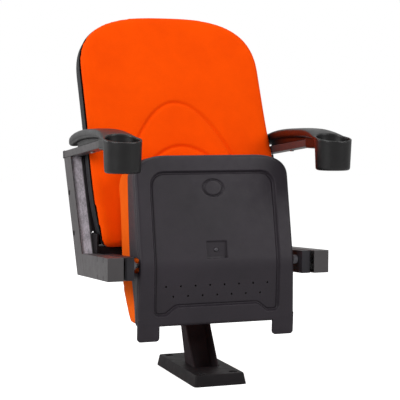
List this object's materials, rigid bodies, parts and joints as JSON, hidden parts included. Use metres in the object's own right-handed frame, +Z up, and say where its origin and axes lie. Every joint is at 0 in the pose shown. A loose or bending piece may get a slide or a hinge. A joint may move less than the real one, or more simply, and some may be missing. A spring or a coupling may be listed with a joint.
{
  "type": "tip up auditorium seat",
  "caption": "Tip up auditorium seat on a single floor leg, with an upholstered back, a sprung seat and armrests that end in cup holders.",
  "frame": {"origin": "on the floor, at the middle of the foot plate", "axes": "+X to the viewer's right, +Y to the rear of the seat, +Z up"},
  "size_m": [0.668, 0.6409, 0.9808],
  "materials": {
    "black_steel": "black satin powder coat",
    "grey_steel": "graphite satin powder coat",
    "zinc_steel": "zinc plated fasteners and pins",
    "black_plastic": "black moulded plastic with a fine grain",
    "pan_plastic": "charcoal moulded plastic with a fine grain",
    "orange_cloth": "orange stretch upholstery cloth over moulded foam",
    "plywood": "bent and flat plywood inside the upholstery",
    "rubber": "black rubber stops"
  },
  "bodies": {
    "frame": {"foot_plate": "black_steel", "foot_cover": "black_steel", "post": "black_steel", "head_plate": "black_steel", "cross_beam": "black_steel", "beam_end_plate_left": "black_steel", "beam_end_plate_right": "black_steel", "back_bracket_left": "black_steel", "back_bracket_right": "black_steel", "upright_left": "grey_steel", "upright_right": "grey_steel", "side_rail_left": "grey_steel", "side_rail_right": "grey_steel", "arm_tube_left": "grey_steel", "arm_tube_right": "grey_steel", "floor_bolt_1": "zinc_steel", "floor_bolt_2": "zinc_steel", "floor_bolt_3": "zinc_steel", "floor_bolt_4": "zinc_steel", "head_bolt_left": "zinc_steel", "head_bolt_right": "zinc_steel", "housing_stud_1_left": "zinc_steel", "housing_stud_1_right": "zinc_steel", "housing_stud_2_left": "zinc_steel", "housing_stud_2_right": "zinc_steel", "return_spring_left": "zinc_steel", "return_spring_right": "zinc_steel", "arm_screw_left": "zinc_steel", "arm_screw_right": "zinc_steel", "back_screw_1": "zinc_steel", "back_screw_2": "zinc_steel", "back_screw_3": "zinc_steel", "back_screw_4": "zinc_steel", "hinge_housing_left": "black_plastic", "hinge_housing_right": "black_plastic", "housing_cover_left": "black_plastic", "housing_cover_right": "black_plastic", "pivot_bush_left": "black_plastic", "pivot_bush_right": "black_plastic", "arm_tube_cap_left": "black_plastic", "arm_tube_cap_right": "black_plastic", "armrest_left": "black_plastic", "armrest_right": "black_plastic", "back_shell": "black_plastic", "back_cushion": "orange_cloth", "back_board": "plywood", "stop_bumper_left": "rubber", "stop_bumper_right": "rubber"},
    "seat": {"seat_pan": "pan_plastic", "seat_cushion": "orange_cloth", "seat_board": "plywood", "hub_plate_left": "black_steel", "hub_plate_right": "black_steel", "pivot_pin_left": "zinc_steel", "pivot_pin_right": "zinc_steel", "stop_cam_left": "black_steel", "stop_cam_right": "black_steel", "pan_screw": "zinc_steel"}
  },
  "joints": [
    {"name": "seat_tip", "type": "hinge", "parent": "frame", "child": "seat", "pos_m": [0, -0.112, 0.318], "axis": [1, 0, 0], "range_deg": [0, 90], "stiffness_Nm_per_rad": 2.2, "springref_deg": -28.65}
  ]
}
